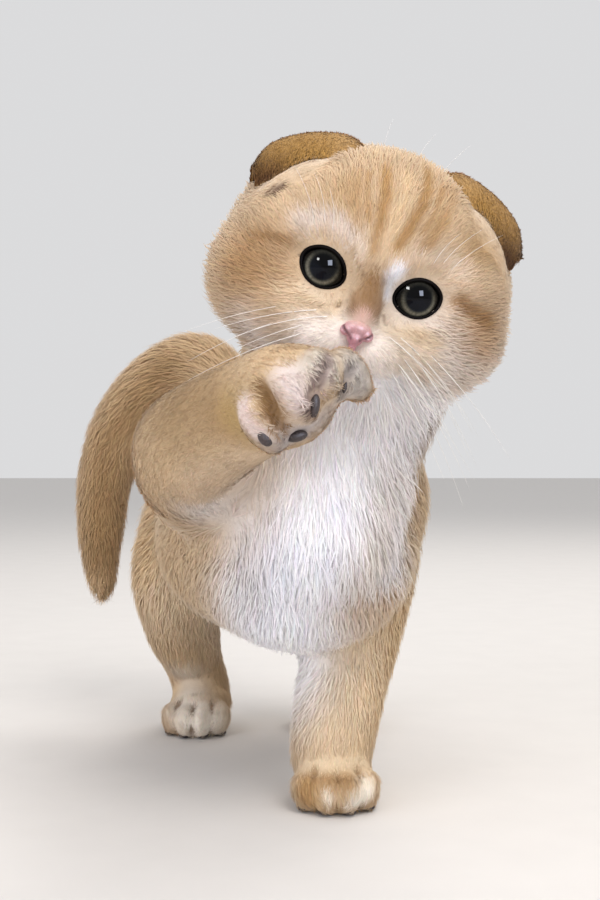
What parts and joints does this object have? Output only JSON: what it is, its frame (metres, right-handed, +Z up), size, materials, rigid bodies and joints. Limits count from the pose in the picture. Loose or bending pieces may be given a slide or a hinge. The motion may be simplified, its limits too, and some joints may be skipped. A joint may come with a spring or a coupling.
{
  "type": "scottish fold kitten",
  "caption": "Life-size model of a golden Scottish Fold kitten with folded ears, standing and reaching forward with its right forepaw.",
  "frame": {"origin": "on the floor, under the middle of the whole kitten", "axes": "+Z up, -Y the way the kitten faces and reaches, +X to the kitten's left"},
  "size_m": [0.135, 0.2212, 0.1742],
  "materials": {
    "coat": "short dense golden and white fur",
    "ear_coat": "short golden-brown fur",
    "eye": "wet and dark, with a grey iris ring",
    "nose_leather": "bare pink skin"
  },
  "bodies": {
    "root": {"head": "coat", "neck": "coat", "torso": "coat", "tail": "coat", "right_foreleg": "coat", "left_foreleg": "coat", "right_hind_leg": "coat", "left_hind_leg": "coat", "right_ear": "ear_coat", "left_ear": "ear_coat", "right_eye": "eye", "left_eye": "eye", "nose": "nose_leather"}
  },
  "joints": []
}
